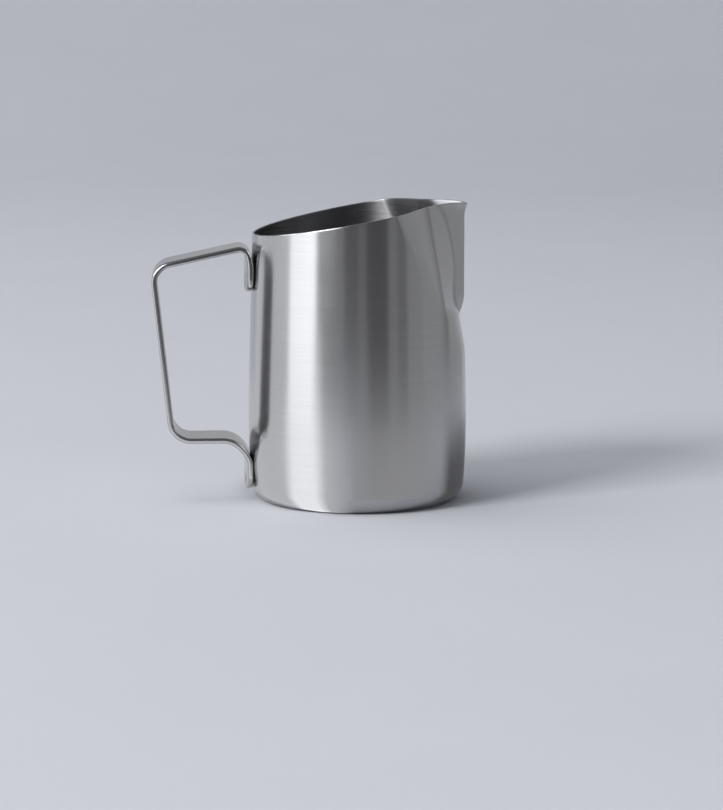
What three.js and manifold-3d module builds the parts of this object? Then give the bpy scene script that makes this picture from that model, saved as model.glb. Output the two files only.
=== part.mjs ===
// Milk frothing pitcher: a one-piece drawn steel body with a pinched spout,
// and a bent strap handle held to it by four spot welds.
// Units are millimetres. +Z is up, the spout points along +X and the handle along -X.
// The origin is the centre of the flat base.
import * as THREE from 'three';
import { mergeVertices } from 'three/addons/utils/BufferGeometryUtils.js';
import Module from 'manifold-3d';

const wasm = await Module();
wasm.setup();

// ---- driving dimensions -------------------------------------------------

const RADIUS = 44;              // outer radius at the widest level
const WIDEST_LEVEL = 33;        // height of the widest level above the base
const TAPER = 0.0275;           // loss of radius per mm of height above the widest level
const FOOT_CURVE = 0.0013;      // how quickly the side pulls in below the widest level
const BASE_CORNER = 7;          // radius of the corner between base and side
const WALL = 0.8;               // sheet thickness

const RIM_AT_CENTRE = 115.4;    // rim height above the middle of the base
const RIM_SLOPE = 0.18;         // rim rise per mm towards the spout
const LIP_LEVEL = 120.1;        // level at which the rim flattens out over the spout
const LIP_SOFTNESS = 2.4;       // length over which the slope turns into the level lip
const LIP_DROOP = 0.011;        // fall of the lip towards the tip
const LIP_DROOP_START = 36;

const NOTCH_LEVEL = 75;         // height of the pointed lower end of the spout
const CREASE_BEARING = radians(38);   // bearing of the two side creases, seen from above
const SHOULDER_BEARING = radians(68.5);  // bearing where the rim leaves its round shape
const CREASE_DEPTH = 8.7;       // how far the crease is pushed in at the rim
const CREASE_GROOVE = 0.22;     // depth of the line that the press leaves along each crease
const BEAK_FLANK = 1.0;         // flank slope of the beak, seen from above
const BEAK_REACH = 43.2;        // distance of the beak's edge from the axis
const TIP_FLARE_START = 114;    // height where the pouring tip starts to curl outwards
const TIP_FLARE = 0.045;
const DENT_START = 58;          // the wall below the beak is pressed in from here up
const DENT_DEPTH = 2.2;

const STRAP_WIDTH = 21;
const STRAP_THICKNESS = 2.3;
const STRAP_EDGE = 0.7;         // rounding along the strap's edges
const TAB_LENGTH = 9;           // length of a tab that lies flat against the body
const TAB_CORNER = 5;           // corner radius at the two ends of the strap
const TAB_GAP = 0.35;           // clearance between a tab and the body
const UPPER_TAB_END = 84.9;
const UPPER_SPOT_LEVEL = 88.7;
const LOWER_TAB_END = 4.9;
const LOWER_SPOT_LEVEL = 8.6;
const TOP_RUN_LEVEL = 102.9;    // height of the upper run where it bends down to the tab
const TOP_RUN_SLOPE = 0.215;
const TOP_BEND = 3.5;           // centreline bend radii, in order along the strap
const UPPER_CORNER = 7.6;
const LOWER_CORNER = 8.5;
const LOWER_SWEEP = 10;
const GRIP_LEAN = 0.1054;       // the grip comes this much nearer the body per mm down
const GRIP_FOOT = 74.85;        // distance of the grip's lower end from the axis
const BOTTOM_RUN_LEVEL = 25.05;

const SPOT_SPACING = 10;        // distance between the two welds of one tab
const SPOT_RADIUS = 2.2;
const SPOT_RECESS = 0.3;        // the weld lies this far below the strap's outer face

// ---- small helpers ------------------------------------------------------

function radians(degrees) {
  return degrees * Math.PI / 180;
}

function smoothStep(from, to, value) {
  return THREE.MathUtils.smoothstep(value, from, to);
}

// Minimum and maximum of two values with the corner rounded off over a length k.
function softMin(a, b, k) {
  const overlap = Math.max(k - Math.abs(a - b), 0);
  return Math.min(a, b) - overlap * overlap / (4 * k);
}

function softMax(a, b, k) {
  return -softMin(-a, -b, k);
}

// Distance from the axis to the straight line through two plan points, along a bearing.
function lineAlong(bearing, from, to) {
  const across = to.clone().sub(from);
  return from.cross(to) / (across.y * Math.cos(bearing) - across.x * Math.sin(bearing));
}

function planPoint(radius, bearing) {
  return new THREE.Vector2(radius * Math.cos(bearing), radius * Math.sin(bearing));
}

// ---- body surface -------------------------------------------------------

// Radius of the round body, before the spout is pressed into it.
function roundRadius(level) {
  const above = level - WIDEST_LEVEL;
  if (above < 0) {
    return RADIUS - FOOT_CURVE * above * above;
  }
  const easing = 12;
  return RADIUS - TAPER * above * above / (above + easing);
}

// Distance of the beak's front edge from the axis; its upper end curls outwards at the tip.
function beakEdge(level, side) {
  const rise = BEAK_REACH - 1.8 + 0.37 * (level - NOTCH_LEVEL);
  const flare = TIP_FLARE * Math.max(level - TIP_FLARE_START, 0) ** 2;
  const atTip = 1 - 0.75 * smoothStep(radians(2), radians(17), side);
  return softMin(rise, BEAK_REACH, 1.2) + flare * atTip;
}

// Radius of the body at a level and bearing, with the spout pressed in.
// The spout is a beak with two flanks, between two side panels that are
// pushed inwards along the creases.
function bodyRadius(level, bearing) {
  const round = roundRadius(level);
  const side = Math.abs(bearing);
  if (level < DENT_START || side > radians(86)) {
    return round;
  }
  const climb = Math.max((level - NOTCH_LEVEL) / (LIP_LEVEL - NOTCH_LEVEL), 0);
  const creaseDepth = CREASE_DEPTH * climb;
  const dent = DENT_DEPTH * smoothStep(DENT_START, NOTCH_LEVEL + 3, level)
    - 0.85 * smoothStep(82, 100, level);
  const shoulder = CREASE_BEARING + radians(3)
    + (SHOULDER_BEARING - CREASE_BEARING - radians(3)) * climb;

  const crease = planPoint(round - creaseDepth, CREASE_BEARING);
  const middle = planPoint(round - dent, 0);
  const outer = planPoint(round, shoulder);
  const flatPanel = lineAlong(side, crease, middle);
  const share = side / CREASE_BEARING;
  const roundPanel = round - dent - (creaseDepth - dent) * share * share;
  const flatness = smoothStep(NOTCH_LEVEL - 1, NOTCH_LEVEL + 6, level);
  const panel = THREE.MathUtils.lerp(roundPanel, flatPanel, flatness);
  const shoulderPanel = lineAlong(side, outer, crease);
  const atShoulder = smoothStep(CREASE_BEARING - radians(3), CREASE_BEARING + radians(3), side);
  const pressed = THREE.MathUtils.lerp(panel, shoulderPanel, atShoulder);

  const shoulderSoftness = 0.01 + 4 * climb;
  const beyond = (side - CREASE_BEARING) * round;
  const groove = Math.exp(-((beyond / (beyond > 0 ? 2 : 1)) ** 2));
  const marked = CREASE_GROOVE * smoothStep(DENT_START, NOTCH_LEVEL + 8, level);
  const wall = softMin(round, pressed, shoulderSoftness) - marked * groove;
  if (side > CREASE_BEARING) {
    return wall;
  }
  const rounding = 0.03;
  const sine = Math.hypot(Math.sin(side), rounding) - rounding;
  const beak = beakEdge(level, side) / (Math.cos(side) + sine / BEAK_FLANK);
  return softMax(wall, beak, 0.5);
}

function bodyPoint(level, bearing) {
  const plan = planPoint(bodyRadius(level, bearing), bearing);
  return new THREE.Vector3(plan.x, plan.y, level);
}

// Point at a depth below the outer surface, measured square to it.
function wallPoint(level, bearing, depth) {
  const step = 0.05;
  const up = bodyPoint(level + step, bearing).sub(bodyPoint(level - step, bearing));
  const along = bodyPoint(level, bearing + step / RADIUS).sub(bodyPoint(level, bearing - step / RADIUS));
  const normal = along.cross(up).normalize();
  return bodyPoint(level, bearing).addScaledVector(normal, -depth);
}

// Rim height at a bearing: a sloping plane that levels off over the spout.
function rimLevel(bearing) {
  let level = LIP_LEVEL;
  for (let pass = 0; pass < 4; pass += 1) {
    const x = bodyRadius(level, bearing) * Math.cos(bearing);
    const slope = RIM_AT_CENTRE + RIM_SLOPE * x;
    const droop = LIP_DROOP * Math.max(x - LIP_DROOP_START, 0) ** 2;
    level = softMin(slope, LIP_LEVEL, LIP_SOFTNESS) - droop;
  }
  return level;
}

// ---- body ---------------------------------------------------------------

// The lathe profile carries two numbers for each ring: how far up the wall it is
// and how deep below the outer face. The spinning gives the rings and their faces,
// and each vertex then goes to its true place on the pressed shape.
function bodyRings() {
  const rings = [];
  const cornerSteps = 5;
  const lowerRows = 8;
  const upperRows = 12;
  const tilt = Math.atan(2 * FOOT_CURVE * (WIDEST_LEVEL - BASE_CORNER));
  const wallStart = BASE_CORNER * (1 - Math.sin(tilt));
  const footRadius = roundRadius(wallStart) - BASE_CORNER * Math.cos(tilt);
  const innerCorner = BASE_CORNER - WALL;
  const flat = (radius, level) => (bearing) => {
    const plan = planPoint(radius, bearing);
    return new THREE.Vector3(plan.x, plan.y, level);
  };
  const corner = (radius, step) => {
    const turn = step / cornerSteps * (Math.PI / 2 - tilt);
    return flat(footRadius + radius * Math.sin(turn), BASE_CORNER - radius * Math.cos(turn));
  };
  const wall = (row, depth, below) => (bearing) => {
    const top = rimLevel(bearing) - below;
    const level = row < lowerRows
      ? THREE.MathUtils.lerp(wallStart, NOTCH_LEVEL, row / lowerRows)
      : THREE.MathUtils.lerp(NOTCH_LEVEL, top, row / upperRows - lowerRows / upperRows);
    return wallPoint(level, bearing, depth);
  };

  rings.push(flat(0, 0));
  for (let i = 0; i < cornerSteps; i += 1) {
    rings.push(corner(BASE_CORNER, i));
  }
  const topRow = lowerRows + upperRows;
  for (let row = 0; row <= topRow; row += 1) {
    rings.push(wall(row, 0, WALL * 0.4));
  }
  rings.push(wall(topRow, WALL * 0.5, 0));
  for (let row = topRow; row >= 0; row -= 1) {
    rings.push(wall(row, WALL, WALL * 0.4));
  }
  for (let i = cornerSteps - 1; i >= 0; i -= 1) {
    rings.push(corner(innerCorner, i));
  }
  rings.push(flat(0, WALL));
  return rings;
}

// Bearings are bunched towards the spout, where the shape changes quickly.
function bunchedBearing(turn) {
  return turn - 0.45 * Math.sin(turn);
}

function makeBodyGeometry() {
  const segments = 72;
  const rings = bodyRings();
  const last = rings.length - 1;
  const profile = rings.map((ring, i) => new THREE.Vector2(i === 0 || i === last ? 0 : 1, i));
  const geometry = new THREE.LatheGeometry(profile, segments);
  const position = geometry.attributes.position;
  for (let i = 0; i < position.count; i += 1) {
    const segment = Math.floor(i / rings.length);
    const turn = (segment % segments) / segments * 2 * Math.PI;
    const bearing = bunchedBearing(turn > Math.PI ? turn - 2 * Math.PI : turn);
    const point = rings[i % rings.length](bearing);
    position.setXYZ(i, point.x, point.y, point.z);
  }
  return geometry;
}

// ---- handle -------------------------------------------------------------

// A polyline whose corners are turned into arcs, offset sideways by a distance.
// Positive offsets lie to the left of the direction of travel.
function roundedRoute(corners, radii, offset) {
  const points = [];
  for (let i = 1; i < corners.length - 1; i += 1) {
    const inward = corners[i].clone().sub(corners[i - 1]).normalize();
    const outward = corners[i + 1].clone().sub(corners[i]).normalize();
    const turn = Math.atan2(inward.cross(outward), inward.dot(outward));
    const left = new THREE.Vector2(-inward.y, inward.x).multiplyScalar(Math.sign(turn));
    const start = corners[i].clone().addScaledVector(inward, -radii[i] * Math.tan(Math.abs(turn) / 2));
    const centre = start.clone().addScaledVector(left, radii[i]);
    const spoke = start.clone().sub(centre).multiplyScalar((radii[i] - Math.sign(turn) * offset) / radii[i]);
    const steps = Math.max(4, Math.ceil(Math.abs(turn) * Math.sqrt(radii[i]) * 1.6));
    for (let k = 0; k <= steps; k += 1) {
      const swing = spoke.clone().rotateAround(new THREE.Vector2(), turn * k / steps);
      points.push(centre.clone().add(swing));
    }
  }
  const end = (a, b) => {
    const along = b.clone().sub(a).normalize();
    return new THREE.Vector2(-along.y, along.x).multiplyScalar(offset);
  };
  const n = corners.length;
  points.unshift(corners[0].clone().add(end(corners[0], corners[1])));
  points.push(corners[n - 1].clone().add(end(corners[n - 2], corners[n - 1])));
  return points;
}

// Strap centreline in the X-Z plane, from the upper tab's end round to the lower tab's end.
function strapCorners() {
  const reach = (level) => -(roundRadius(level) + TAB_GAP + STRAP_THICKNESS / 2);
  const topX = reach(UPPER_SPOT_LEVEL);
  const bottomX = reach(LOWER_SPOT_LEVEL);
  const gripX = (level) => -GRIP_FOOT - GRIP_LEAN * (level - BOTTOM_RUN_LEVEL);
  const topCorner = (TOP_RUN_LEVEL + TOP_RUN_SLOPE * (-GRIP_FOOT + GRIP_LEAN * BOTTOM_RUN_LEVEL - topX))
    / (1 + TOP_RUN_SLOPE * GRIP_LEAN);
  return [
    new THREE.Vector2(-(roundRadius(UPPER_TAB_END) + TAB_GAP + STRAP_THICKNESS / 2), UPPER_TAB_END),
    new THREE.Vector2(topX, TOP_RUN_LEVEL),
    new THREE.Vector2(gripX(topCorner), topCorner),
    new THREE.Vector2(gripX(BOTTOM_RUN_LEVEL), BOTTOM_RUN_LEVEL),
    new THREE.Vector2(bottomX, BOTTOM_RUN_LEVEL),
    new THREE.Vector2(bottomX, LOWER_TAB_END),
  ];
}

// The tabs are formed to the round body: away from the middle of the strap they
// move towards it, fully at the tab and not at all once the strap leaves the body.
function formTabs(geometry) {
  const position = geometry.attributes.position;
  for (let i = 0; i < position.count; i += 1) {
    const y = position.getY(i);
    const z = position.getZ(i);
    const x = position.getX(i);
    const radius = roundRadius(z) + TAB_GAP;
    const sag = radius - Math.sqrt(radius * radius - y * y);
    const tabEnd = z > BOTTOM_RUN_LEVEL ? UPPER_TAB_END : LOWER_TAB_END;
    const formed = 1 - smoothStep(tabEnd + TAB_LENGTH, tabEnd + 2 * TAB_LENGTH, z);
    const near = smoothStep(-radius - 3 * STRAP_THICKNESS, -radius - STRAP_THICKNESS, x);
    position.setX(i, x + sag * near * formed);
  }
}

function makeStrapBlank() {
  const corners = strapCorners();
  const radii = [0, TOP_BEND, UPPER_CORNER, LOWER_CORNER, LOWER_SWEEP, 0];
  const half = STRAP_THICKNESS / 2;
  const outline = [
    ...roundedRoute(corners, radii, half),
    ...roundedRoute(corners, radii, -half).reverse(),
  ];
  const geometry = new THREE.ExtrudeGeometry(new THREE.Shape(outline), {
    depth: STRAP_WIDTH - 2 * STRAP_EDGE,
    steps: 8,
    bevelEnabled: true,
    bevelSegments: 1,
    bevelThickness: STRAP_EDGE,
    bevelSize: STRAP_EDGE,
    bevelOffset: -STRAP_EDGE,
  });
  geometry.translate(0, 0, STRAP_EDGE - STRAP_WIDTH / 2);
  geometry.rotateX(Math.PI / 2);
  formTabs(geometry);
  return geometry;
}

// ---- solids -------------------------------------------------------------

function toSolid(geometry) {
  const bare = geometry.clone();
  bare.deleteAttribute('normal');
  bare.deleteAttribute('uv');
  const merged = mergeVertices(bare, 1e-4);
  return new wasm.Manifold(new wasm.Mesh({
    numProp: 3,
    vertProperties: new Float32Array(merged.attributes.position.array),
    triVerts: new Uint32Array(merged.index.array),
  }));
}

function toGeometry(solid) {
  const mesh = solid.getMesh();
  const geometry = new THREE.BufferGeometry();
  geometry.setAttribute('position', new THREE.BufferAttribute(new Float32Array(mesh.vertProperties), 3));
  geometry.setIndex(new THREE.BufferAttribute(new Uint32Array(mesh.triVerts), 1));
  geometry.computeVertexNormals();
  return geometry;
}

// What is cut away at one corner of a tab to leave it round, as a prism along X.
function cornerCutter(endLevel, side) {
  const beyond = 2;
  const edge = STRAP_WIDTH / 2;
  const shape = new THREE.Shape();
  shape.moveTo(edge - TAB_CORNER, -beyond);
  shape.lineTo(edge + beyond, -beyond);
  shape.lineTo(edge + beyond, TAB_CORNER);
  shape.lineTo(edge, TAB_CORNER);
  shape.absarc(edge - TAB_CORNER, TAB_CORNER, TAB_CORNER, 0, -Math.PI / 2, true);
  const geometry = new THREE.ExtrudeGeometry(shape, { depth: 20, bevelEnabled: false, curveSegments: 5 });
  const solid = toSolid(geometry);
  const placed = side > 0 ? solid : solid.mirror([1, 0, 0]);
  return placed.rotate([90, 0, 90]).translate([-RADIUS - 10, 0, endLevel]);
}

function spotCylinder(radius, nearX, farX, y, level) {
  const geometry = new THREE.CylinderGeometry(radius, radius, Math.abs(farX - nearX), 16);
  geometry.rotateZ(Math.PI / 2);
  geometry.translate((nearX + farX) / 2, y, level);
  return geometry;
}

function spots() {
  const list = [];
  for (const [place, level] of [['upper', UPPER_SPOT_LEVEL], ['lower', LOWER_SPOT_LEVEL]]) {
    for (const [side, sign] of [['front', -1], ['rear', 1]]) {
      const y = sign * SPOT_SPACING / 2;
      const radius = roundRadius(level);
      const face = Math.sqrt(radius * radius - y * y);
      list.push({ name: `spot_weld_${place}_${side}`, y, level, face });
    }
  }
  return list;
}

function makeHandleGeometry() {
  let solid = toSolid(makeStrapBlank());
  for (const side of [-1, 1]) {
    solid = solid.subtract(cornerCutter(LOWER_TAB_END, side));
    solid = solid.subtract(cornerCutter(UPPER_TAB_END, side));
  }
  for (const spot of spots()) {
    const hole = spotCylinder(SPOT_RADIUS + TAB_GAP, -spot.face + 2, -spot.face - 6, spot.y, spot.level);
    solid = solid.subtract(toSolid(hole));
  }
  return toGeometry(solid);
}

function makeSpotGeometry(spot) {
  const inner = -spot.face - TAB_GAP * 1.4;
  const outer = -spot.face - TAB_GAP - STRAP_THICKNESS + SPOT_RECESS;
  return spotCylinder(SPOT_RADIUS, inner, outer, spot.y, spot.level);
}

// ---- assembly -----------------------------------------------------------

const brushedSteel = new THREE.MeshStandardMaterial({ color: 0xb4b5b8, roughness: 0.34, metalness: 1 });
const strapSteel = new THREE.MeshStandardMaterial({ color: 0xa9aaad, roughness: 0.26, metalness: 1 });
const weldSteel = new THREE.MeshStandardMaterial({ color: 0x9c9da0, roughness: 0.4, metalness: 1 });

function part(name, geometry, material) {
  const mesh = new THREE.Mesh(geometry, material);
  mesh.name = name;
  return mesh;
}

const pitcher = new THREE.Group();
pitcher.add(part('pitcher_body', makeBodyGeometry(), brushedSteel));
pitcher.add(part('handle_strap', makeHandleGeometry(), strapSteel));
for (const spot of spots()) {
  pitcher.add(part(spot.name, makeSpotGeometry(spot), weldSteel));
}

export default pitcher;
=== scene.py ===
import math

import bpy
import numpy as np
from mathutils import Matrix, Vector


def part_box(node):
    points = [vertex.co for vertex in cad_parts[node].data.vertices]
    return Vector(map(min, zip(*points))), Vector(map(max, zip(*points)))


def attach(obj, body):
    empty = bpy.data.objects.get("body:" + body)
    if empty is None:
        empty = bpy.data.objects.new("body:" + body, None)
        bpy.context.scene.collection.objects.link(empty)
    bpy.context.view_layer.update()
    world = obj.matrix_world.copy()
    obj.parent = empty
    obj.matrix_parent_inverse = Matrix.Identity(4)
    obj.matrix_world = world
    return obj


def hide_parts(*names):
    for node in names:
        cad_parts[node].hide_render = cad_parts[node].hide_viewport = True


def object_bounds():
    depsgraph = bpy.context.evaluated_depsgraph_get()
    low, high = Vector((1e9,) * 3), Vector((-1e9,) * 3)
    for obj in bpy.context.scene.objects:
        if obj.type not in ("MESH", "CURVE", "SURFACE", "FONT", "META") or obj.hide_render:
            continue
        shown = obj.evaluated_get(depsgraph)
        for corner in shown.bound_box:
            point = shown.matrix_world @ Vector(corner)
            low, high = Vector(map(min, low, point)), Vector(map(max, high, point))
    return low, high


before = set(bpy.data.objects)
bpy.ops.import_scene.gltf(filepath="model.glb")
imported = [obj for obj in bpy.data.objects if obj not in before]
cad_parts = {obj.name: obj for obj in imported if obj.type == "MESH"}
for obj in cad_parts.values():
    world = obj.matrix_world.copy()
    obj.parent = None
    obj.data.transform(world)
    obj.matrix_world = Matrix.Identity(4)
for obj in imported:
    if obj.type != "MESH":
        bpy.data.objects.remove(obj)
cad_low, cad_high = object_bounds()

# ---- sizes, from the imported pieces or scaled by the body's outer radius ----

BODY_LOW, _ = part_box("pitcher_body")
STRAP_LOW, STRAP_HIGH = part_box("handle_strap")
DESIGN_RADIUS = 44                    # the body's outer radius in the design's millimetres
RADIUS = -BODY_LOW.x                  # the same in the frame, at the widest level
MM = RADIUS / DESIGN_RADIUS           # one design millimetre

WIDEST_LEVEL = 33 * MM
TAPER = 0.0275                        # loss of radius per unit of height, above the widest level
TAPER_EASING = 12 * MM
FOOT_CURVE = 0.0013 / MM              # how quickly the side pulls in below the widest level
BASE_CORNER = 7 * MM
WALL = 0.8 * MM

RIM_AT_CENTRE = 115.4 * MM
RIM_SLOPE = 0.18
LIP_LEVEL = 120.1 * MM
LIP_SOFTNESS = 2.4 * MM
LIP_DROOP = 0.011 / MM                # how quickly the lip sinks towards its tip
LIP_DROOP_START = 36 * MM             # beyond this distance from the axis

NOTCH_LEVEL = 75 * MM                 # lower end of the beak
CREASE_SHADE_START = 42 * MM                  # where the painted shade along the creases starts
FULL_PRESS = NOTCH_LEVEL + 8 * MM     # where the pressed grooves and the painted crease shade reach their full strength
PRESS_END = math.radians(86)          # the body stays round beyond this bearing
CREASE_BEARING = math.radians(38)
CREASE_TURN = math.radians(3)         # the two panels blend over this much on each side of a crease
CREASE_DEPTH = 8.7 * MM
CREASE_GROOVE = 0.15 * MM             # depth of the line that the press leaves along each crease
GROOVE_REACH = 1.0 * MM               # its half width towards the beak, and twice that away from it
SHOULDER_BEARING = math.radians(68.5)
SHOULDER_SOFTNESS = 4 * MM            # rounding of the shoulder at the level of the lip
LEAST_SOFTNESS = 0.01 * MM            # and below the notch
PANEL_FLAT_START = NOTCH_LEVEL - MM   # the middle panel is round below this level
PANEL_FLAT_END = NOTCH_LEVEL + 6 * MM # and flat above this one
BEAK_FLANK = 1.0                      # how far the flanks fall back per unit of width
BEAK_REACH = 43.2 * MM
BEAK_SETBACK = 1.8 * MM               # the front edge starts this much short of its reach
BEAK_RISE = 0.37                      # and moves out by this much per unit of height
BEAK_BEND = 1.2 * MM                  # rounding where it reaches its full distance
BEAK_BLUNTNESS = 0.03
BEAK_SOFTNESS = 0.5 * MM              # rounding where the flanks meet the panels
TIP_FLARE_START = 114 * MM
TIP_FLARE = 0.045 / MM
TIP_FLARE_LOSS = 0.75                 # share of the flare that is gone at the tip's sides
TIP_INNER = math.radians(2)
TIP_OUTER = math.radians(17)
DENT_START = 58 * MM
DENT_FULL = NOTCH_LEVEL + 3 * MM
DENT_DEPTH = 2.2 * MM
RELIEF_START = 82 * MM                # above this level the dent grows shallower again
RELIEF_END = 100 * MM
DENT_RELIEF = 0.85 * MM

STRAP_WIDTH = STRAP_HIGH.y - STRAP_LOW.y
STRAP_THICKNESS = 2.3 * MM
STRAP_EDGE = 0.9 * MM
TAB_LENGTH = 9 * MM
TAB_CORNER = 5 * MM
TAB_GAP = 0.35 * MM
UPPER_TAB_END = 84.9 * MM
UPPER_SPOT_LEVEL = 88.7 * MM
LOWER_TAB_END = STRAP_LOW.z
LOWER_SPOT_LEVEL = 8.6 * MM
TOP_RUN_LEVEL = 102.9 * MM
TOP_RUN_SLOPE = 0.215
TOP_BEND = 3.5 * MM
UPPER_CORNER = 7.6 * MM
LOWER_CORNER = 8.5 * MM
LOWER_SWEEP = 10 * MM
GRIP_LEAN = 0.1054
GRIP_FOOT = 74.85 * MM
BOTTOM_RUN_LEVEL = 25.05 * MM
ROUTE_STEP = 0.8 * MM                 # between points of the strap's centreline, and half in its bends

SPOT_SPACING = 10 * MM
SPOT_RADIUS = 2.2 * MM
SPOT_DISH = 0.3 * MM
SPOT_LIP = 0.14 * MM                  # height of the ring of metal raised round each dish


# ---- small helpers ---------------------------------------------------------

def smooth_step(start, end, value):
    share = np.clip((value - start) / (end - start), 0, 1)
    return share * share * (3 - 2 * share)


def soft_min(a, b, length):
    """Minimum of two values, with the corner rounded off over a length."""
    overlap = np.maximum(length - np.abs(a - b), 0)
    return np.minimum(a, b) - overlap * overlap / (4 * length)


def soft_max(a, b, length):
    return -soft_min(-a, -b, length)


def mix(a, b, share):
    return a + (b - a) * share


def line_along(bearing, ax, ay, bx, by):
    """Distance from the axis to the line through plan points a and b, along a bearing."""
    return (ax * by - ay * bx) / ((by - ay) * np.cos(bearing) - (bx - ax) * np.sin(bearing))


def make_object(name, points, faces):
    """A smooth-shaded mesh object, linked to the scene."""
    mesh = bpy.data.meshes.new(name)
    mesh.from_pydata([tuple(p) for p in points], [], faces)
    mesh.validate()
    mesh.update()
    mesh.polygons.foreach_set("use_smooth", [True] * len(mesh.polygons))
    thing = bpy.data.objects.new(name, mesh)
    bpy.context.scene.collection.objects.link(thing)
    return thing


def add_painted_shade(thing, shares):
    """Gives each point a share, 0 to 1, of painted shade: how far the steel's colour is darkened there to
    stand for shade.
    """
    painted_shade = thing.data.attributes.new("painted_shade", "FLOAT", "POINT")
    painted_shade.data.foreach_set("value", shares)


# ---- body surface ----------------------------------------------------------

def round_radius(level):
    """Outer radius of the round body, before the spout is pressed into it."""
    above = np.maximum(level - WIDEST_LEVEL, 0)
    below = np.minimum(level - WIDEST_LEVEL, 0)
    return RADIUS - TAPER * above * above / (above + TAPER_EASING) - FOOT_CURVE * below * below


def beak_edge(level, side):
    """Distance of the beak's front edge from the axis; its upper end curls outwards at the tip."""
    rise = BEAK_REACH - BEAK_SETBACK + BEAK_RISE * (level - NOTCH_LEVEL)
    flare = TIP_FLARE * np.maximum(level - TIP_FLARE_START, 0) ** 2
    at_tip = 1 - TIP_FLARE_LOSS * smooth_step(TIP_INNER, TIP_OUTER, side)
    return soft_min(rise, BEAK_REACH, BEAK_BEND) + flare * at_tip


def beak_sine(side):
    """Sine of a bearing, blunted near zero so that the beak's front edge is rounded."""
    return np.hypot(np.sin(side), BEAK_BLUNTNESS) - BEAK_BLUNTNESS


def dent_depth(level):
    """Depth of the shallow dent in the middle, under and behind the beak."""
    pressed = DENT_DEPTH * smooth_step(DENT_START, DENT_FULL, level)
    return pressed - DENT_RELIEF * smooth_step(RELIEF_START, RELIEF_END, level)


def spout_panels(level, side, plain, climb):
    """Radius of the pressed panels, one from the middle to the crease and one on to the shoulder."""
    crease_depth = CREASE_DEPTH * climb
    dent = dent_depth(level)
    edge = CREASE_BEARING + CREASE_TURN
    shoulder = edge + (SHOULDER_BEARING - edge) * climb
    crease_x = (plain - crease_depth) * math.cos(CREASE_BEARING)
    crease_y = (plain - crease_depth) * math.sin(CREASE_BEARING)
    flat_panel = line_along(side, crease_x, crease_y, plain - dent, 0 * plain)
    share = side / CREASE_BEARING
    round_panel = plain - dent - (crease_depth - dent) * share * share
    flatness = smooth_step(PANEL_FLAT_START, PANEL_FLAT_END, level)
    panel = mix(round_panel, flat_panel, flatness)
    outer_x = plain * np.cos(shoulder)
    outer_y = plain * np.sin(shoulder)
    shoulder_panel = line_along(side, outer_x, outer_y, crease_x, crease_y)
    at_shoulder = smooth_step(CREASE_BEARING - CREASE_TURN, CREASE_BEARING + CREASE_TURN, side)
    return mix(panel, shoulder_panel, at_shoulder)


def groove_depth(level, side, plain):
    """Depth of the line pressed along the crease."""
    beyond = (side - CREASE_BEARING) * plain
    reach = np.where(beyond > 0, 2 * GROOVE_REACH, GROOVE_REACH)
    marked = CREASE_GROOVE * smooth_step(DENT_START, FULL_PRESS, level)
    return marked * np.exp(-(beyond / reach) ** 2)


def body_radius(level, bearing):
    """Outer radius at a level and bearing, with the spout pressed in."""
    plain = round_radius(level)
    side = np.minimum(np.abs(bearing), PRESS_END)
    climb = np.maximum((level - NOTCH_LEVEL) / (LIP_LEVEL - NOTCH_LEVEL), 0)
    panels = spout_panels(level, side, plain, climb)
    wall = soft_min(plain, panels, LEAST_SOFTNESS + SHOULDER_SOFTNESS * climb)
    wall = wall - groove_depth(level, side, plain)
    beak = beak_edge(level, side) / (np.cos(side) + beak_sine(side) / BEAK_FLANK)
    beak = np.where(side < CREASE_BEARING, beak, 0)
    shaped = soft_max(wall, beak, BEAK_SOFTNESS)
    in_reach = (level > DENT_START) & (np.abs(bearing) < PRESS_END)
    return np.where(in_reach, shaped, plain)


def painted_crease_shade(points):
    """Share of painted shade: a dark line along each crease and one along the beak's root, standing for the
    shade in these folds.
    """
    inner_reach = 1.6 * MM
    outer_reach = 3.0 * MM
    beak_reach = 0.18 * MM
    beak_strength = 0.6
    x, y, level = points.T
    radius = np.hypot(x, y)
    side = np.arctan2(np.abs(y), x)
    beyond = (side - CREASE_BEARING) * radius
    reach = np.where(beyond > 0, outer_reach, inner_reach)
    line = np.exp(-(beyond / reach) ** 2)
    off_beak = radius * beak_sine(side) - (beak_edge(level, side) - radius * np.cos(side)) * BEAK_FLANK
    off_beak = np.maximum(off_beak, 0) / beak_reach
    beak_line = off_beak * np.exp(1 - off_beak) * (side < CREASE_BEARING)
    share = smooth_step(CREASE_SHADE_START, NOTCH_LEVEL, level)
    beak_share = smooth_step(NOTCH_LEVEL, FULL_PRESS, level)
    return line * share + beak_strength * beak_line * beak_share


def body_point(level, bearing):
    radius = body_radius(level, bearing)
    return np.stack([radius * np.cos(bearing), radius * np.sin(bearing), level + 0 * radius], -1)


def wall_point(level, bearing, depth):
    """Point at a depth below the outer surface, measured square to it."""
    step = 0.05 * MM
    turn = step / RADIUS
    up = body_point(level + step, bearing) - body_point(level - step, bearing)
    along = body_point(level, bearing + turn) - body_point(level, bearing - turn)
    normal = np.cross(along, up)
    normal /= np.linalg.norm(normal, axis=-1, keepdims=True)
    return body_point(level, bearing) - depth * normal


def rim_level(bearing):
    """Level of the rim; it depends on the radius there, so it is worked out in a few passes."""
    passes = 4
    level = LIP_LEVEL + 0 * bearing
    for _ in range(passes):
        x = body_radius(level, bearing) * np.cos(bearing)
        droop = LIP_DROOP * np.maximum(x - LIP_DROOP_START, 0) ** 2
        level = soft_min(RIM_AT_CENTRE + RIM_SLOPE * x, LIP_LEVEL, LIP_SOFTNESS) - droop
    return level


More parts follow.
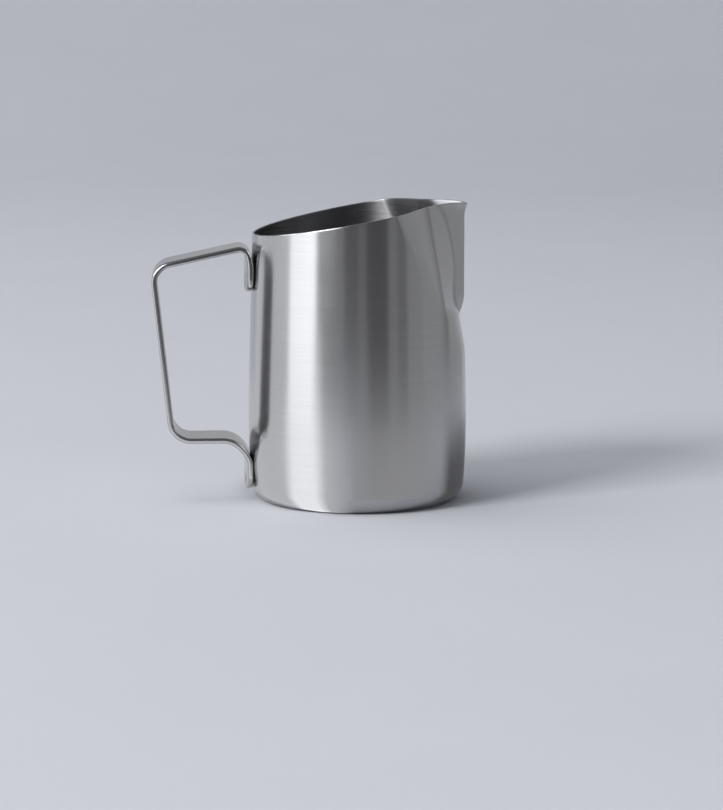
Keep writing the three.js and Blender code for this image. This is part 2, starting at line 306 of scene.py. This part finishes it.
def body_rings(bearing):
    """Rings of points from the middle of the base, up the outside, over the rim and down the inside."""
    corner_steps = 10
    lower_rows = 24
    upper_rows = 92
    rim_steps = 8
    tilt = math.atan(2 * FOOT_CURVE * (WIDEST_LEVEL - BASE_CORNER))
    wall_start = BASE_CORNER * (1 - math.sin(tilt))
    centre = round_radius(wall_start) - BASE_CORNER * math.cos(tilt)
    rim_edge = 0.3 * MM
    rim_fullness = 0.7
    base_shares = (0.1, 0.4, 0.7, 0.95)

    def flat(radius, level):
        ring = [radius * np.cos(bearing), radius * np.sin(bearing), level + 0 * bearing]
        return np.stack(ring, -1)

    def corner(radius, step):
        turn = (math.pi / 2 - tilt) * step / corner_steps
        return flat(centre + radius * math.sin(turn), BASE_CORNER - radius * math.cos(turn))

    def wall(row, depth, below):
        top = rim_level(bearing) - below
        if row < lower_rows:
            level = mix(wall_start, DENT_START, row / lower_rows) + 0 * bearing
        else:
            level = mix(DENT_START, top, (row - lower_rows) / upper_rows)
        return wall_point(level, bearing, depth)

    top_row = lower_rows + upper_rows
    rings = [flat(centre * share, 0) for share in base_shares]
    rings += [corner(BASE_CORNER, step) for step in range(corner_steps)]
    rings += [wall(row, 0, rim_edge) for row in range(top_row)]
    for step in range(rim_steps + 1):
        turn = math.pi * step / rim_steps
        depth = WALL / 2 * (1 - math.copysign(abs(math.cos(turn)) ** rim_fullness, math.cos(turn)))
        rings.append(wall(top_row, depth, rim_edge * (1 - math.sin(turn) ** rim_fullness)))
    rings += [wall(row, WALL, rim_edge) for row in range(top_row - 1, -1, -1)]
    rings += [corner(BASE_CORNER - WALL, step) for step in range(corner_steps - 1, -1, -1)]
    rings += [flat(centre * share, WALL) for share in base_shares[::-1]]
    return rings


def make_body():
    """The pressed sheet, closed over its rim, with its inside in the second material slot."""
    columns = 360
    crowding = 0.45                   # columns stand closer together at the spout
    turn = np.arange(columns) / columns * 2 * math.pi - math.pi
    bearing = turn - crowding * np.sin(turn)
    rings = body_rings(bearing)
    points = np.concatenate(rings)
    faces = []
    for row in range(len(rings) - 1):
        for column in range(columns):
            after = (column + 1) % columns
            low, high = row * columns, (row + 1) * columns
            faces.append((low + column, low + after, high + after, high + column))
    bottom, top = len(points), len(points) + 1
    last = (len(rings) - 1) * columns
    for column in range(columns):
        after = (column + 1) % columns
        faces.append((bottom, after, column))
        faces.append((top, last + column, last + after))
    points = np.concatenate([points, [[0, 0, 0], [0, 0, WALL]]])
    body = make_object("body_shell", points, faces)
    # Painted shade: dark lines along the creases and the beak's root darken the steel's colour.
    add_painted_shade(body, painted_crease_shade(points))
    rim_row = len(rings) // 2
    for face in body.data.polygons:
        first = face.vertices[0]
        face.material_index = int(rim_row * columns <= first < bottom or first == top)
    return body


# ---- handle strap ----------------------------------------------------------

def strap_corners():
    """Corners of the strap's centreline in the X-Z plane, upper tab first, and their bend radii."""
    def tab(level):
        return -(round_radius(level) + TAB_GAP + STRAP_THICKNESS / 2)

    def grip(level):
        return -GRIP_FOOT - GRIP_LEAN * (level - BOTTOM_RUN_LEVEL)

    top = tab(UPPER_SPOT_LEVEL)
    bottom = tab(LOWER_SPOT_LEVEL)
    fall = TOP_RUN_SLOPE * (-GRIP_FOOT + GRIP_LEAN * BOTTOM_RUN_LEVEL - top)
    meeting = (TOP_RUN_LEVEL + fall) / (1 + TOP_RUN_SLOPE * GRIP_LEAN)
    corners = [
        (tab(UPPER_TAB_END), UPPER_TAB_END, 0),
        (top, TOP_RUN_LEVEL, TOP_BEND),
        (grip(meeting), meeting, UPPER_CORNER),
        (grip(BOTTOM_RUN_LEVEL), BOTTOM_RUN_LEVEL, LOWER_CORNER),
        (bottom, BOTTOM_RUN_LEVEL, LOWER_SWEEP),
        (bottom, LOWER_TAB_END, 0),
    ]
    return [(np.array([x, z]), radius) for x, z, radius in corners]


def bend(before, here, after, radius):
    """Where a rounded corner starts, and the points and normals of its arc."""
    inward = here - before
    outward = after - here
    inward /= np.linalg.norm(inward)
    outward /= np.linalg.norm(outward)
    turn = math.atan2(inward[0] * outward[1] - inward[1] * outward[0], inward @ outward)
    start = here - inward * radius * math.tan(abs(turn) / 2)
    left = np.array([-inward[1], inward[0]]) * math.copysign(1, turn)
    centre = start + left * radius
    steps = max(6, math.ceil(abs(turn) * (radius + STRAP_THICKNESS) / (0.5 * ROUTE_STEP)))
    points = []
    normals = []
    for step in range(1, steps + 1):
        angle = turn * step / steps
        spin = np.array([[math.cos(angle), -math.sin(angle)], [math.sin(angle), math.cos(angle)]])
        points.append(centre + spin @ (start - centre))
        normals.append(spin @ np.array([inward[1], -inward[0]]))
    return start, points, normals


def strap_route():
    """Points along the centreline, lines and arcs in turn, with normals that point to its right.

    Its right is the outside of the grip, but on the upper tab it faces the body.
    """
    corners = strap_corners()
    points = [corners[0][0]]
    normals = []

    def add_line(end):
        start = points[-1]
        along = (end - start) / np.linalg.norm(end - start)
        normal = np.array([along[1], -along[0]])
        if not normals:
            normals.append(normal)
        steps = max(2, math.ceil(np.linalg.norm(end - start) / ROUTE_STEP))
        for step in range(1, steps + 1):
            points.append(mix(start, end, step / steps))
            normals.append(normal)

    for (before, _), (here, radius), (after, _) in zip(corners, corners[1:], corners[2:]):
        arc_start, arc_points, arc_normals = bend(before, here, after, radius)
        add_line(arc_start)
        points += arc_points
        normals += arc_normals
    add_line(corners[-1][0])
    return np.array(points), np.array(normals)


def strap_section():
    """Section of the strap: shares of the half width, offsets along the edge arcs, and heights."""
    across = 40
    arc = 6
    half = STRAP_THICKNESS / 2
    flat = np.linspace(-1, 1, across)
    turn = np.linspace(0, math.pi / 2, arc + 1)[1:]
    section = [(share, 0, half) for share in flat]
    section += [(1, STRAP_EDGE * math.sin(t), half - STRAP_EDGE * (1 - math.cos(t))) for t in turn]
    section += [(1, STRAP_EDGE * math.cos(t), -half + STRAP_EDGE * (1 - math.sin(t))) for t in turn[:-1]]
    section += [(share, 0, -half) for share in flat[::-1]]
    section += [(-1, -STRAP_EDGE * math.sin(t), -half + STRAP_EDGE * (1 - math.cos(t))) for t in turn]
    section += [(-1, -STRAP_EDGE * math.cos(t), half - STRAP_EDGE * (1 - math.sin(t))) for t in turn[:-1]]
    return np.array(section).T


def spots():
    """Name and place (y, level) of each spot weld."""
    places = []
    for place, level in (("upper", UPPER_SPOT_LEVEL), ("lower", LOWER_SPOT_LEVEL)):
        for side, sign in (("front", -1), ("rear", 1)):
            places.append((f"spot_weld_{place}_{side}", sign * SPOT_SPACING / 2, level))
    return places


def spot_press(y, level):
    """Depth of the dishes that the welding tips press into the outer face of the tabs."""
    dish_floor, dish_end = 0.8, 1.25          # these four are shares of the spot's radius
    lip_middle, lip_width = 1.45, 0.18
    depth = 0 * y
    for _, spot_y, spot_level in spots():
        away = np.hypot(y - spot_y, level - spot_level) / SPOT_RADIUS
        dish = SPOT_DISH * (1 - smooth_step(dish_floor, dish_end, away))
        lip = SPOT_LIP * np.exp(-((away - lip_middle) / lip_width) ** 2)
        depth = depth + dish - lip
    return depth


def form_tabs(points):
    """Bends the tabs to the round body."""
    x, y, z = points[:, 0], points[:, 1], points[:, 2]
    radius = round_radius(z) + TAB_GAP
    sag = radius - np.sqrt(radius * radius - y * y)
    tab_end = np.where(z > BOTTOM_RUN_LEVEL, UPPER_TAB_END, LOWER_TAB_END)
    formed = 1 - smooth_step(tab_end + TAB_LENGTH, tab_end + 2 * TAB_LENGTH, z)
    near = smooth_step(-radius - 3 * STRAP_THICKNESS, -radius - STRAP_THICKNESS, x)
    moved = points.copy()
    moved[:, 0] = x + sag * near * formed
    return moved


def tab_half_width(distance):
    """Half width of the strap at a distance from its nearer end, with the tab's corners rounded."""
    inside = np.clip(TAB_CORNER - distance, 0, TAB_CORNER)
    return STRAP_WIDTH / 2 - TAB_CORNER + np.sqrt(TAB_CORNER ** 2 - inside ** 2)


def strap_ring(point, normal, to_end, section):
    """One ring of the strap's skin at a route point, narrowed and thinned near a tab's end."""
    share, edge, height = section
    end_bluntness = 0.12 * MM
    end_thinning = 0.5
    face_height = STRAP_THICKNESS / 2.01      # only the flat faces lie above this height
    squeeze = min(1, (to_end + end_bluntness) / STRAP_EDGE)
    thin = 1 - end_thinning * (1 - math.sqrt(1 - (1 - squeeze) ** 2))
    y = share * (tab_half_width(to_end) - STRAP_EDGE) + edge
    lift = height * thin
    upright_slack = 0.01
    is_tab = abs(normal[1]) < upright_slack and point[0] > -RADIUS - 3 * STRAP_THICKNESS
    if is_tab:
        outer = math.copysign(1, -normal[0])
        on_face = outer * height > face_height
        lift = np.where(on_face, lift - outer * spot_press(y, point[1]), lift)
    x = point[0] + normal[0] * lift
    z = point[1] + normal[1] * lift
    return np.stack([x, y, z], -1)


def unroll_strap(strap, along, edge):
    """Adds a UV map with the length along the strap as U and a distance round its section as V."""
    face_step = 0.05 * MM             # V gained from one point of a flat face to the next
    round_section = np.cumsum(np.hypot(np.diff(edge, append=edge[0]), face_step))
    lengths = np.repeat(along, len(edge))
    widths = np.tile(round_section, len(along))
    vertex = np.zeros(len(strap.data.loops), int)
    strap.data.loops.foreach_get("vertex_index", vertex)
    uv = strap.data.uv_layers.new(name="along")
    uv.data.foreach_set("uv", np.stack([lengths[vertex], widths[vertex]], -1).ravel())


def make_strap():
    route, normals = strap_route()
    steps = np.linalg.norm(np.diff(route, axis=0), axis=1)
    along = np.concatenate([[0], np.cumsum(steps)])
    section = strap_section()
    rings = []
    for point, normal, distance in zip(route, normals, along):
        to_end = min(distance, along[-1] - distance)
        rings.append(strap_ring(point, normal, to_end, section))
    points = form_tabs(np.concatenate(rings))
    _, edge, _ = section
    count = len(edge)
    faces = []
    for row in range(len(rings) - 1):
        for column in range(count):
            after = (column + 1) % count
            low, high = row * count, (row + 1) * count
            faces.append((low + column, high + column, high + after, low + after))
    last = (len(rings) - 1) * count
    faces.append(tuple(range(count)))
    faces.append(tuple(range(last + count - 1, last - 1, -1)))
    strap = make_object("handle_bar", points, faces)
    # Painted shade: the strap's rounded edges and sides are given a darker colour.
    add_painted_shade(strap, np.tile(np.abs(edge) / STRAP_EDGE, len(rings)))
    unroll_strap(strap, along, edge)
    return strap


def lens_faces(rings, columns):
    """Faces of a closed lens: a front and a back of rings round a centre face, joined at the edge."""
    faces = []
    for side in range(2):
        for ring in range(rings - 1):
            for column in range(columns):
                after = (column + 1) % columns
                low = (side * rings + ring) * columns
                quad = (low + column, low + after, low + columns + after, low + columns + column)
                faces.append(quad if side else quad[::-1])
    front_last, back_last = (rings - 1) * columns, (2 * rings - 1) * columns
    for column in range(columns):
        after = (column + 1) % columns
        faces.append((front_last + column, back_last + column, back_last + after, front_last + after))
    faces.append(tuple(range(columns - 1, -1, -1)))
    faces.append(tuple(range(rings * columns, rings * columns + columns)))
    return faces


def make_spot(name, y, level):
    """One weld nugget: a thin lens whose rippled face lies in the pressed dish."""
    rings = 9
    columns = 40
    crown_height = 0.1 * MM
    ripples = 2.2
    edge_sharpness = 6
    depth = 0.25 * MM
    radius = round_radius(level)
    outer = STRAP_THICKNESS + TAB_GAP
    points = []
    for side in (1, -1):
        for ring in range(1, rings + 1):
            share = ring / rings
            for column in range(columns):
                turn = 2 * math.pi * column / columns
                spot_y = y + share * SPOT_RADIUS * math.cos(turn)
                spot_z = level + share * SPOT_RADIUS * math.sin(turn)
                face = math.sqrt(radius ** 2 - spot_y ** 2) + outer - SPOT_DISH
                crown = crown_height + crown_height * math.cos(share * math.pi * ripples) * (1 - share)
                skin = crown * (1 - share ** edge_sharpness) if side > 0 else -depth
                points.append((-face - skin, spot_y, spot_z))
    return make_object("nugget_" + name.removeprefix("spot_weld_"), points, lens_faces(rings, columns))


# ---- materials -------------------------------------------------------------

class Nodes:
    """Short calls for building one material's node tree."""

    def __init__(self, name):
        self.material = bpy.data.materials.new(name)
        self.material.use_nodes = True
        self.tree = self.material.node_tree
        self.shader = self.tree.nodes["Principled BSDF"]

    def add(self, kind, inputs=None, **settings):
        node = self.tree.nodes.new(kind)
        for key, value in settings.items():
            setattr(node, key, value)
        for key, value in (inputs or {}).items():
            self.plug(node, key, value)
        return node

    def plug(self, node, key, value):
        if isinstance(value, bpy.types.NodeSocket):
            self.tree.links.new(value, node.inputs[key])
        else:
            node.inputs[key].default_value = value

    def math(self, operation, a, b=0.0, c=0.0):
        return self.add("ShaderNodeMath", {0: a, 1: b, 2: c}, operation=operation).outputs[0]

    def noise(self, vector, scale, detail=2.0, roughness=0.5):
        node = self.add("ShaderNodeTexNoise", {"Vector": vector, "Scale": scale})
        self.plug(node, "Detail", detail)
        self.plug(node, "Roughness", roughness)
        return node.outputs["Fac"]

    def remap(self, value, low, high, new_low, new_high):
        inputs = {"Value": value, "From Min": low, "From Max": high, "To Min": new_low, "To Max": new_high}
        return self.add("ShaderNodeMapRange", inputs).outputs["Result"]

    def vector(self, x, y, z):
        return self.add("ShaderNodeCombineXYZ", {"X": x, "Y": y, "Z": z}).outputs["Vector"]

    def blend(self, share, a, b):
        node = self.add("ShaderNodeMix", data_type="RGBA")
        self.plug(node, "Factor", share)
        self.plug(node, 6, a)
        self.plug(node, 7, b)
        return node.outputs[2]


# Near-black colour that the painted shade blends the steel towards.
PAINTED_SHADE_TONE = (0.1, 0.1, 0.1, 1)


def finish_steel(nodes, grain, place, look):
    """Joins a grain direction to the shader: fine lines, uneven polish and faint stains.

    grain is a vector whose Z runs quickly across the brushing lines; place is the plain position.
    """
    patches_per_metre = 38.0
    stains_per_metre = 11.0
    fine = nodes.noise(grain, 1.0, 3.0, 0.6)
    broad = nodes.noise(place, patches_per_metre, 3.0, 0.55)
    stain = nodes.noise(place, stains_per_metre, 2.0, 0.5)
    lines = nodes.remap(fine, 0.25, 0.75, -1.0, 1.0)
    polish = nodes.remap(broad, 0.3, 0.7, -1.0, 1.0)
    rough = nodes.math("MULTIPLY_ADD", lines, look["grain_roughness"], look["roughness"])
    rough = nodes.math("MULTIPLY_ADD", polish, look["patch_roughness"], rough)
    nodes.plug(nodes.shader, "Roughness", rough)
    tone = nodes.remap(nodes.math("MULTIPLY_ADD", fine, 0.6, stain), 0.5, 1.1, 0.0, 1.0)
    colour = nodes.blend(tone, look["dark"], look["light"])
    # Painted shade: the colour is blended towards a near-black tone by each point's share of painted shade.
    if look["painted_shade_share"]:
        painted_shade = nodes.add("ShaderNodeAttribute", attribute_name="painted_shade").outputs["Fac"]
        colour = nodes.blend(nodes.math("MULTIPLY", painted_shade, look["painted_shade_share"]), colour, PAINTED_SHADE_TONE)
    nodes.plug(nodes.shader, "Base Color", colour)
    bump = nodes.add("ShaderNodeBump", {"Height": fine, "Distance": look["grain_depth"]})
    nodes.plug(bump, "Strength", look["grain_strength"])
    nodes.plug(nodes.shader, "Normal", bump.outputs["Normal"])
    nodes.plug(nodes.shader, "Metallic", 1.0)
    nodes.plug(nodes.shader, "Anisotropic", look["anisotropy"])
    nodes.plug(nodes.shader, "Anisotropic Rotation", look["turn"])
    return nodes.material


def make_body_steel(name, look):
    """Stainless steel brushed round the axis, on the walls and on the base alike."""
    lines_across = 3400.0
    lines_along = 22.0
    base_end, wall_start = 0.001, 0.005       # levels between which the grain changes over
    nodes = Nodes(name)
    place = nodes.add("ShaderNodeTexCoord").outputs["Object"]
    parts = nodes.add("ShaderNodeSeparateXYZ", {"Vector": place})
    x, y, z = parts.outputs["X"], parts.outputs["Y"], parts.outputs["Z"]
    radius = nodes.math("SQRT", nodes.math("MULTIPLY_ADD", x, x, nodes.math("MULTIPLY", y, y)))
    on_base = nodes.remap(z, base_end, wall_start, 1.0, 0.0)
    across = nodes.math("MULTIPLY", nodes.math("MULTIPLY_ADD", radius, on_base, z), lines_across)
    grain_x = nodes.math("MULTIPLY", x, lines_along)
    grain_y = nodes.math("MULTIPLY", y, lines_along)
    grain = nodes.vector(grain_x, grain_y, across)
    tangent = nodes.add("ShaderNodeTangent", direction_type="RADIAL", axis="Z")
    nodes.plug(nodes.shader, "Tangent", tangent.outputs["Tangent"])
    return finish_steel(nodes, grain, place, look)


# The last entry of each look sets how strongly painted shade darkens the steel's colour where the mesh asks
# for it.
OUTSIDE = {
    "dark": (0.435, 0.435, 0.445, 1), "light": (0.51, 0.51, 0.521, 1),
    "roughness": 0.20, "grain_roughness": 0.02, "patch_roughness": 0.015,
    "grain_depth": 0.00002, "grain_strength": 0.07, "anisotropy": 0.6, "turn": 0.25, "painted_shade_share": 0.4,
}
# Painted shade: the inside uses a darker copy of the outside steel's colours, so that the deep inside looks
# shaded.
SHADED_INSIDE = {
    "dark": (0.25, 0.25, 0.257, 1), "light": (0.42, 0.42, 0.43, 1),
    "roughness": 0.30, "grain_roughness": 0.06, "patch_roughness": 0.03,
    "grain_depth": 0.00003, "grain_strength": 0.35, "anisotropy": 0.75, "turn": 0.25, "painted_shade_share": 0.0,
}


def make_strap_steel():
    """Strip steel, brushed along its length and tumbled, so a little smoother than the body."""
    lines_across = 3000.0
    lines_along = 40.0
    nodes = Nodes("strap_steel")
    coordinates = nodes.add("ShaderNodeTexCoord")
    flat = nodes.add("ShaderNodeSeparateXYZ", {"Vector": coordinates.outputs["UV"]})
    along = nodes.math("MULTIPLY", flat.outputs["X"], lines_along)
    across = nodes.math("MULTIPLY", flat.outputs["Y"], lines_across)
    grain = nodes.vector(along, 0.0, across)
    tangent = nodes.add("ShaderNodeTangent", direction_type="UV_MAP", uv_map="along")
    nodes.plug(nodes.shader, "Tangent", tangent.outputs["Tangent"])
    # The last entry sets how strongly painted shade darkens the strap's rounded edges.
    look = {
        "dark": (0.43, 0.43, 0.44, 1), "light": (0.51, 0.51, 0.521, 1),
        "roughness": 0.17, "grain_roughness": 0.02, "patch_roughness": 0.02,
        "grain_depth": 0.00002, "grain_strength": 0.08, "anisotropy": 0.3, "turn": 0.25, "painted_shade_share": 0.38,
    }
    return finish_steel(nodes, grain, coordinates.outputs["Object"], look)


def make_weld_steel():
    """Pressed nugget: duller and slightly straw coloured from the heat, with no brushing direction."""
    grains = (900.0, 900.0, 900.0)
    nodes = Nodes("weld_steel")
    place = nodes.add("ShaderNodeTexCoord").outputs["Object"]
    scaled = nodes.add("ShaderNodeVectorMath", {0: place, 1: grains}, operation="MULTIPLY")
    look = {
        "dark": (0.14, 0.13, 0.12, 1), "light": (0.40, 0.39, 0.37, 1),
        "roughness": 0.38, "grain_roughness": 0.06, "patch_roughness": 0.04,
        "grain_depth": 0.00004, "grain_strength": 0.5, "anisotropy": 0.0, "turn": 0.0, "painted_shade_share": 0.0,
    }
    return finish_steel(nodes, scaled.outputs["Vector"], place, look)


# ---- studio ----------------------------------------------------------------

HEIGHT = cad_high.z - cad_low.z
VIEW_BEARING = math.radians(3.5)      # the camera stands this far round towards the handle
VIEW_LIFT = math.radians(8.88)        # and this far above the horizon
VIEW_DISTANCE = 1215 * MM
VIEW_ASIDE = 0.014                    # the camera aims this share of the height to the right of the axis
VIEW_AIM = 0.313                      # and this share of the height above the table
FOCAL_LENGTH = 133.3                  # millimetres on the default 36 mm sensor


def bearing_point(bearing, distance, height):
    """Place at a bearing in degrees from the camera's own side, positive to the picture's right."""
    angle = math.radians(bearing) - VIEW_BEARING
    return Vector((math.sin(angle) * distance, -math.cos(angle) * distance, height))


def make_camera():
    right = Vector((math.cos(VIEW_BEARING), -math.sin(VIEW_BEARING), 0))
    target = right * VIEW_ASIDE * HEIGHT + Vector((0, 0, VIEW_AIM * HEIGHT))
    back = bearing_point(0, math.cos(VIEW_LIFT), math.sin(VIEW_LIFT))
    data = bpy.data.cameras.new("camera")
    data.lens = FOCAL_LENGTH
    data.clip_start = 0.05
    data.clip_end = 30
    camera = bpy.data.objects.new("camera", data)
    camera.location = target + back * VIEW_DISTANCE
    camera.rotation_mode = "QUATERNION"
    camera.rotation_quaternion = (-back).to_track_quat("-Z", "Y")
    bpy.context.scene.collection.objects.link(camera)
    bpy.context.scene.camera = camera


def make_paper():
    """Matt bluish-grey paper with a faint mottle."""
    darker = (0.575, 0.585, 0.625, 1)
    lighter = (0.60, 0.61, 0.65, 1)
    mottle_per_metre = 9.0
    nodes = Nodes("pale_paper")
    place = nodes.add("ShaderNodeTexCoord").outputs["Object"]
    mottle = nodes.noise(place, mottle_per_metre)
    nodes.plug(nodes.shader, "Base Color", nodes.blend(mottle, darker, lighter))
    nodes.plug(nodes.shader, "Roughness", 1.0)
    nodes.plug(nodes.shader, "Specular IOR Level", 0.0)
    return nodes.material


def make_floor():
    """A pale table that sweeps up into a round backdrop, the same from every side."""
    flat, bend, top = 1.6, 2.4, 3.0
    flat_steps, bend_steps, columns = 12, 16, 96
    profile = [(flat * step / flat_steps, 0) for step in range(1, flat_steps + 1)]
    for step in range(1, bend_steps + 1):
        turn = math.pi / 2 * step / bend_steps
        profile.append((flat + bend * math.sin(turn), bend * (1 - math.cos(turn))))
    profile.append((flat + bend, top))
    points = [(0, 0, 0)]
    for radius, level in profile:
        for column in range(columns):
            turn = 2 * math.pi * column / columns
            points.append((radius * math.cos(turn), radius * math.sin(turn), level))
    faces = [(0, 1 + column, 1 + (column + 1) % columns) for column in range(columns)]
    for row in range(len(profile) - 1):
        for column in range(columns):
            after = (column + 1) % columns
            low, high = 1 + row * columns, 1 + (row + 1) * columns
            faces.append((low + column, high + column, high + after, low + after))
    floor = make_object("table_and_backdrop", points, faces)
    floor.data.materials.append(make_paper())


# Area lights: bearing, distance, height, size, power, and whether the steel mirrors them.
LIGHTS = [
    ("key_light", -50, 3.2, 2.08, (1.3, 1.3), 101, True),
    ("top_light", -110, 1.5, 3.1, (3.6, 3.6), 50, False),
]


def make_light(name, bearing, distance, height, size, power, shows):
    """An area light that points at the middle of the object."""
    data = bpy.data.lights.new(name, "AREA")
    data.shape = "RECTANGLE"
    data.size, data.size_y = size
    data.energy = power
    light = bpy.data.objects.new(name, data)
    light.location = bearing_point(bearing, distance, height)
    aim = Vector((0, 0, HEIGHT / 2)) - light.location
    light.rotation_mode = "QUATERNION"
    light.rotation_quaternion = aim.to_track_quat("-Z", "Y")
    light.visible_glossy = shows
    light.visible_camera = False
    bpy.context.scene.collection.objects.link(light)


PANEL_DISTANCE = 0.36                 # from the wall of the body
# Upright panels that the steel mirrors: first and last bearing, top, brightness, soft edge in degrees.
PANELS = [
    ("left_wall", -140, -80, 0.13, 0.84, 3),
    ("softbox", -78, -45.2, 0.55, 1.92, 5),
    ("left_gap", -44, -15.5, 0.55, 0.22, 3),
    ("left_flag", -15.5, 2, 0.55, 0.125, 2),
    ("thin_gap", 2, 9, 0.55, 0.20, 2),
    ("middle_flag", 9, 34, 0.55, 0.11, 2),
    ("near_edge", 34, 43, 0.55, 0.29, 2),
    ("right_dip", 43, 56, 0.55, 0.21, 3),
    ("right_gap", 56, 75, 0.55, 0.36, 4),
    ("right_wall", 75, 150, 0.55, 0.41, 6),
    ("back_wall", 156, 204, 0.55, 0.50, 8),
]
# Higher panels that the inside of the mouth and spout mirror: bearings and brightness.
MOUTH_PANELS = [
    ("mouth_glow", -60, -25, 8.5),
    ("spout_glow", -97, -79, 5.2),
    ("spout_flag", -150, -102, 0.03),
]
MOUTH_PANEL_FOOT = (PANEL_DISTANCE, 0.18)
MOUTH_PANEL_HEAD = (PANEL_DISTANCE * 0.9, 0.36)
MOUTH_PANEL_EDGE = 5
# Cards that lie on the table: bearings, height, near and far end, brightness, soft edge, far fade.
TABLE_CARDS = [
    ("table_light", -150, -22, 0.0003, -0.006, PANEL_DISTANCE, 0.92, 36, 0.01),
    ("table_glow", -80, -41, 0.0005, -0.006, PANEL_DISTANCE, 1.62, 12, 0.01),
    ("table_dim", 0, 84, 0.0002, 0.012, PANEL_DISTANCE, 0.50, 30, 0.01),
    ("table_shade", 108, 170, 0.0003, -0.006, 0.26, 0.14, 16, 0.7),
]
# Low panels that fade upwards, a little nearer than the others: bearings, share of the distance,
# brightness, soft edge. They stand for light that the table throws on the foot of the studio's walls.
LOW_PANELS = [
    ("low_glow", -44, 12, 0.98, 0.38, 8),
    ("low_edge", -47.5, -38.5, 0.96, 1.3, 5),
]
LOW_HEIGHT = 0.055


def mirrored_point(bearing, distance, height):
    """Place that the camera finds mirrored in the wall of the body, at a distance from the wall."""
    wall = bearing_point(bearing / 2, RADIUS, height)
    return wall + bearing_point(bearing, distance, 0)


def make_glow(name, brightness, fade, far_fade):
    """Emission that fades out over a share of the width at each side, and of the span at its far end."""
    tone = (0.97, 0.98, 1.0, 1)
    nodes = Nodes(name)
    nodes.tree.nodes.remove(nodes.shader)
    span = nodes.add("ShaderNodeSeparateXYZ", {"Vector": nodes.add("ShaderNodeTexCoord").outputs["UV"]})
    rise = nodes.remap(span.outputs["X"], 0.0, fade, 0.0, 1.0)
    fall = nodes.remap(span.outputs["X"], 1.0 - fade, 1.0, 1.0, 0.0)
    share = nodes.math("MULTIPLY", rise, fall)
    if far_fade:
        share = nodes.math("MULTIPLY", share, nodes.remap(span.outputs["Y"], 1.0 - far_fade, 1.0, 1.0, 0.0))
    glow = nodes.add("ShaderNodeEmission", {"Color": tone, "Strength": brightness})
    clear = nodes.add("ShaderNodeBsdfTransparent")
    blended = nodes.add("ShaderNodeMixShader", {0: share, 1: clear.outputs[0], 2: glow.outputs[0]})
    nodes.tree.links.new(blended.outputs[0], nodes.tree.nodes["Material Output"].inputs["Surface"])
    return nodes.material


def make_panel(name, start, end, inner, outer, brightness, soft, far_fade=0.0):
    """A curved strip that only reflections see, from an inner to an outer (distance, height) place."""
    columns = 24
    points = []
    faces = []
    for column in range(columns + 1):
        bearing = mix(start - soft / 2, end + soft / 2, column / columns)
        points.append(mirrored_point(bearing, *inner))
        points.append(mirrored_point(bearing, *outer))
        if column < columns:
            faces.append((2 * column, 2 * column + 2, 2 * column + 3, 2 * column + 1))
    panel = make_object("panel_" + name, points, faces)
    uv = panel.data.uv_layers.new(name="span")
    for loop in panel.data.loops:
        uv.data[loop.index].uv = (loop.vertex_index // 2 / columns, loop.vertex_index % 2)
    fade = soft / (end - start + soft)
    panel.data.materials.append(make_glow("panel_" + name, brightness, fade, far_fade))
    panel.visible_camera = False
    panel.visible_diffuse = False
    panel.visible_shadow = False


def make_panels():
    for name, first, last, top, glow, edge in PANELS:
        make_panel(name, first, last, (PANEL_DISTANCE, 0.0), (PANEL_DISTANCE, top), glow, edge)
    for name, first, last, level, near_end, far_end, glow, edge, tail in TABLE_CARDS:
        make_panel(name, first, last, (near_end, level), (far_end, level), glow, edge, tail)
    for name, first, last, nearness, glow, edge in LOW_PANELS:
        distance = PANEL_DISTANCE * nearness
        make_panel(name, first, last, (distance, 0.0), (distance, LOW_HEIGHT), glow, edge, 1.0)
    for name, first, last, glow in MOUTH_PANELS:
        make_panel(name, first, last, MOUTH_PANEL_FOOT, MOUTH_PANEL_HEAD, glow, MOUTH_PANEL_EDGE)


def make_room():
    """Even, slightly cool light from all round."""
    tone = (0.93, 0.95, 1.0, 1)
    strength = 0.27
    world = bpy.data.worlds.new("room")
    world.use_nodes = True
    background = world.node_tree.nodes["Background"]
    background.inputs["Color"].default_value = tone
    background.inputs["Strength"].default_value = strength
    bpy.context.scene.world = world


# ---- assembly --------------------------------------------------------------

def place_piece(piece, node, material):
    piece.data.materials.append(material)
    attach(piece, "root")
    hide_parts(node)


make_camera()
make_room()
make_floor()
for light_values in LIGHTS:
    make_light(*light_values)
make_panels()
bpy.context.scene.view_settings.view_transform = "Standard"

body = make_body()
place_piece(body, "pitcher_body", make_body_steel("outside_steel", OUTSIDE))
# The inside gets the darker copy of the steel, as painted shade.
body.data.materials.append(make_body_steel("inside_steel_shaded", SHADED_INSIDE))
place_piece(make_strap(), "handle_strap", make_strap_steel())
weld_steel = make_weld_steel()
for spot_name, spot_side, spot_level in spots():
    place_piece(make_spot(spot_name, spot_side, spot_level), spot_name, weld_steel)
